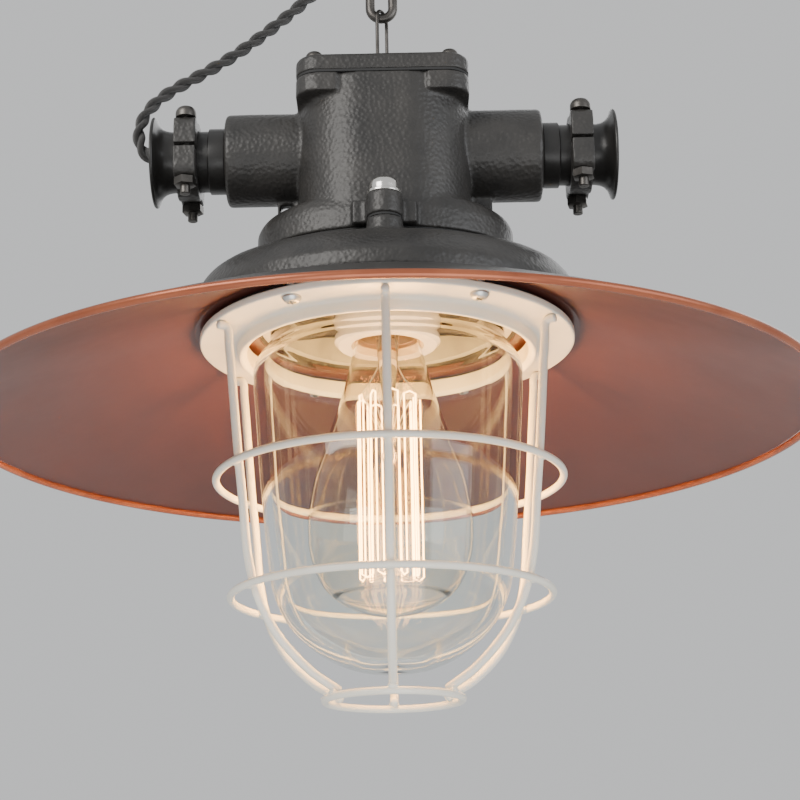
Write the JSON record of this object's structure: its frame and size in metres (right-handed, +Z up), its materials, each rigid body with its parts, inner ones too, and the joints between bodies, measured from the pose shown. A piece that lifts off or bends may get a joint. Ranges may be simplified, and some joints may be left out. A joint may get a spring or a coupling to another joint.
{
  "type": "pendant ceiling light",
  "caption": "Caged well-glass pendant light with a flared enamelled shade, cast junction box, cable glands and chain.",
  "frame": {"origin": "centre of the ceiling canopy's mounting face, on the hanging axis", "axes": "+Z up out of the canopy into the ceiling, X along the two cable glands (cord gland at -X), -Y the front"},
  "size_m": [0.3392, 0.3392, 0.3467],
  "materials": {
    "black_paint": "satin",
    "cast_black": "crinkled satin",
    "oxide_red": "satin",
    "cream_paint": "gloss",
    "dark_steel": "satin",
    "zinc_steel": "satin",
    "bright_steel": "polished",
    "brass": "satin",
    "rubber": "matte",
    "porcelain": "glazed",
    "white_plastic": "matte",
    "black_plastic": "gloss",
    "jar_glass": "clear",
    "bulb_clear_glass": "clear",
    "filament_lit": "matte",
    "cord_fabric": "matte",
    "red_wire": "gloss"
  },
  "bodies": {
    "ceiling_set": {"canopy": "black_paint", "ceiling_bracket": "zinc_steel", "ceiling_hook": "dark_steel", "hook_nuts": "zinc_steel", "cord_grip": "black_plastic", "ceiling_connector": "white_plastic", "cord_upper": "cord_fabric"},
    "upper_chain": {"upper_link": "dark_steel", "cord_middle": "cord_fabric"},
    "lower_chain": {"lower_link": "dark_steel"},
    "pendant": {"eye_bolt": "dark_steel", "eye_nut": "zinc_steel", "box_cover": "cast_black", "cover_gasket": "rubber", "cover_screws": "dark_steel", "junction_box": "cast_black", "terminal_block": "porcelain", "terminal_screws": "brass", "earth_screw": "brass", "lead_wires": "red_wire", "supply_wires": "red_wire", "gland_left": "cast_black", "gland_right": "cast_black", "cord_clamps": "cast_black", "clamp_bolts": "dark_steel", "grommet_left": "rubber", "grommet_right": "rubber", "dome_casting": "cast_black", "housing_gasket": "rubber", "housing_bolts": "bright_steel", "shade": "oxide_red", "shade_gasket": "rubber", "guard_flange": "cream_paint", "guard_screws": "zinc_steel", "cage_rib_1": "cream_paint", "cage_rib_2": "cream_paint", "cage_rib_3": "cream_paint", "cage_rib_4": "cream_paint", "cage_rib_5": "cream_paint", "cage_rib_6": "cream_paint", "cage_ring_upper": "cream_paint", "cage_ring_lower": "cream_paint", "cage_ring_bottom": "cream_paint", "jar": "jar_glass", "jar_gasket": "rubber", "jar_thread_ring": "zinc_steel", "holder_body": "porcelain", "holder_shell": "brass", "holder_contact": "brass", "holder_plate": "zinc_steel", "holder_screws": "zinc_steel", "bulb_cap": "brass", "bulb_insulator": "black_plastic", "bulb_contact": "zinc_steel", "bulb_glass": "bulb_clear_glass", "bulb_stem": "bulb_clear_glass", "filament": "filament_lit", "filament_supports": "zinc_steel", "cord_lower": "cord_fabric"}
  },
  "joints": [
    {"name": "hook_swing", "type": "hinge", "parent": "ceiling_set", "child": "upper_chain", "pos_m": [0, 0, -0.0396], "axis": [0, 1, 0], "range_deg": [-25, 25], "deforming": ["cord_upper"]},
    {"name": "chain_swing", "type": "hinge", "parent": "upper_chain", "child": "lower_chain", "pos_m": [0, 0, -0.06125], "axis": [1, 0, 0], "range_deg": [-30, 30], "deforming": ["cord_middle"]},
    {"name": "pendant_swing", "type": "hinge", "parent": "lower_chain", "child": "pendant", "pos_m": [0, 0, -0.08515], "axis": [0, 1, 0], "range_deg": [-25, 25], "deforming": ["cord_lower"]}
  ]
}
